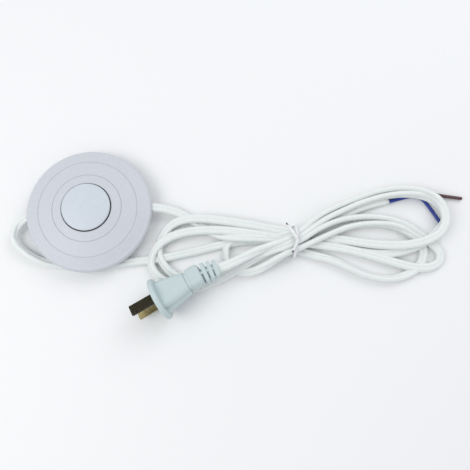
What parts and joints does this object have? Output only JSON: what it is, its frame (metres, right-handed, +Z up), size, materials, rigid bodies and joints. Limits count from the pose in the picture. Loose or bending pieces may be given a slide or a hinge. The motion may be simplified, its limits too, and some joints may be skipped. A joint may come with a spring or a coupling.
{
  "type": "power cord with inline switch",
  "caption": "Flat two-core power cord, wound and tied in a hank, with a moulded two-pin plug, a round push foot switch and a stripped free end.",
  "frame": {"origin": "centre of the round switch, on the surface that it stands on", "axes": "+Z up along the axis of the push button, +X along the cord's way out of the switch towards the plug's side"},
  "size_m": [0.2988, 0.1132, 0.0274],
  "materials": {
    "cover_plastic": "satin",
    "base_plastic": "satin",
    "button_plastic": "satin",
    "foot_rubber": "matt",
    "mechanism_plastic": "satin",
    "terminal_brass": "satin",
    "plated_steel": "satin",
    "cord_jacket": "satin",
    "brown_insulation": "satin",
    "blue_insulation": "satin",
    "plug_moulding": "satin",
    "blade_brass": "dull",
    "tie_film": "gloss"
  },
  "bodies": {
    "switch": {"top_cover": "cover_plastic", "base_plate": "base_plastic", "button_spring": "plated_steel", "mechanism_housing": "mechanism_plastic", "live_contact_in": "terminal_brass", "live_contact_out": "terminal_brass", "neutral_link": "terminal_brass", "terminal_screws": "plated_steel", "housing_screws": "plated_steel", "cord_clamp_left": "mechanism_plastic", "cord_clamp_right": "mechanism_plastic", "clamp_screws": "plated_steel", "case_screws": "plated_steel", "rubber_feet": "foot_rubber", "inner_jacket_left": "cord_jacket", "inner_jacket_right": "cord_jacket", "brown_core_left": "brown_insulation", "brown_core_right": "brown_insulation", "blue_core_left": "blue_insulation", "blue_core_right": "blue_insulation", "plug_body": "plug_moulding", "plug_blade_upper": "blade_brass", "plug_blade_lower": "blade_brass", "cord_left": "cord_jacket", "cord_right": "cord_jacket", "plug_cord": "cord_jacket", "cord_tail": "cord_jacket", "tail_brown_core": "brown_insulation", "tail_blue_core": "blue_insulation", "twist_tie": "tie_film", "cord_hank": "cord_jacket"},
    "button": {"push_button": "button_plastic"},
    "rotor": {"cam_rotor": "mechanism_plastic", "contact_bridge": "terminal_brass"}
  },
  "joints": [
    {"name": "button_press", "type": "slide", "parent": "switch", "child": "button", "axis": [0, 0, -1], "range_m": [0, 0.0035], "stiffness_N_per_m": 1500, "springref_m": -0.002, "deforming": ["button_spring"]},
    {"name": "rotor_turn", "type": "hinge", "parent": "switch", "child": "rotor", "pos_m": [0, 0, 0.004], "axis": [0, 0, 1], "range_deg": [0, 46]}
  ],
  "couplings": [
    {"joint": "rotor_turn", "follows": "button_press", "rad_per_m": 224.4}
  ]
}
